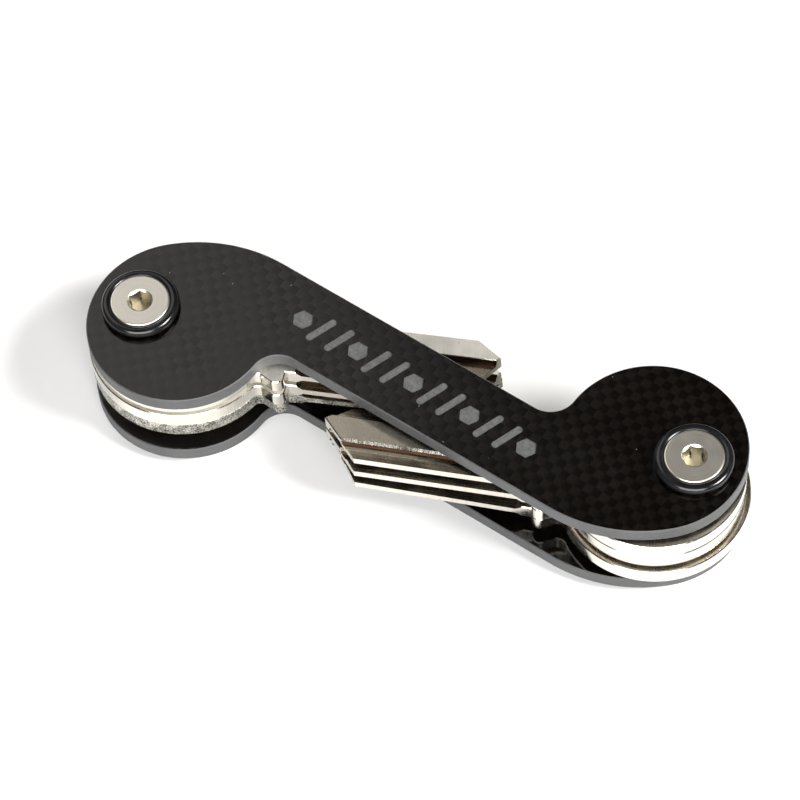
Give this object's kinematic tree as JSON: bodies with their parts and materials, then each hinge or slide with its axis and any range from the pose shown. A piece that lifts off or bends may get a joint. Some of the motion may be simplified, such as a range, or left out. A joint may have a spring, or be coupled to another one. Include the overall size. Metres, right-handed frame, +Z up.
{
  "type": "key organiser",
  "caption": "Pocket key organiser: two S-shaped carbon plates held by barrel screws with rubber rings, with flat keys that swing out from between them.",
  "frame": {"origin": "middle of the footprint, on the plane that the two barrel nut heads rest on", "axes": "+X from the left screw to the right screw, +Z up through the plates, +Y away from the viewer"},
  "size_m": [0.0929, 0.0271, 0.0183],
  "materials": {
    "carbon": "satin woven carbon fibre with machined edges",
    "screw_steel": "fine turned, lightly polished",
    "rubber": "glossy black",
    "key_metal": "brushed nickel silver with milled edges",
    "washer_steel": "satin"
  },
  "bodies": {
    "root": {"top_plate": "carbon", "bottom_plate": "carbon", "left_screw": "screw_steel", "left_barrel_nut": "screw_steel", "left_top_ring": "rubber", "left_bottom_ring": "rubber", "left_upper_washer": "washer_steel", "left_middle_washer": "washer_steel", "left_lower_washer": "washer_steel", "left_bottom_washer": "washer_steel", "right_screw": "screw_steel", "right_barrel_nut": "screw_steel", "right_top_ring": "rubber", "right_bottom_ring": "rubber", "right_upper_washer": "washer_steel", "right_middle_washer": "washer_steel", "right_lower_washer": "washer_steel", "right_bottom_washer": "washer_steel"},
    "left_upper_key": {"left_upper_key": "key_metal"},
    "left_middle_key": {"left_middle_key": "key_metal"},
    "left_lower_key": {"left_lower_key": "key_metal"},
    "right_upper_key": {"right_upper_key": "key_metal"},
    "right_middle_key": {"right_middle_key": "key_metal"},
    "right_lower_key": {"right_lower_key": "key_metal"}
  },
  "joints": [
    {"name": "left_upper_key_swing", "type": "hinge", "parent": "root", "child": "left_upper_key", "pos_m": [-0.0388, 0, 0.009], "axis": [0, 0, 1], "range_deg": [0, 300]},
    {"name": "left_middle_key_swing", "type": "hinge", "parent": "root", "child": "left_middle_key", "pos_m": [-0.0388, 0, 0.009], "axis": [0, 0, 1], "range_deg": [0, 300]},
    {"name": "left_lower_key_swing", "type": "hinge", "parent": "root", "child": "left_lower_key", "pos_m": [-0.0388, 0, 0.009], "axis": [0, 0, 1], "range_deg": [0, 300]},
    {"name": "right_upper_key_swing", "type": "hinge", "parent": "root", "child": "right_upper_key", "pos_m": [0.0388, 0, 0.009], "axis": [0, 0, 1], "range_deg": [0, 300]},
    {"name": "right_middle_key_swing", "type": "hinge", "parent": "root", "child": "right_middle_key", "pos_m": [0.0388, 0, 0.009], "axis": [0, 0, 1], "range_deg": [0, 300]},
    {"name": "right_lower_key_swing", "type": "hinge", "parent": "root", "child": "right_lower_key", "pos_m": [0.0388, 0, 0.009], "axis": [0, 0, 1], "range_deg": [0, 300]}
  ]
}
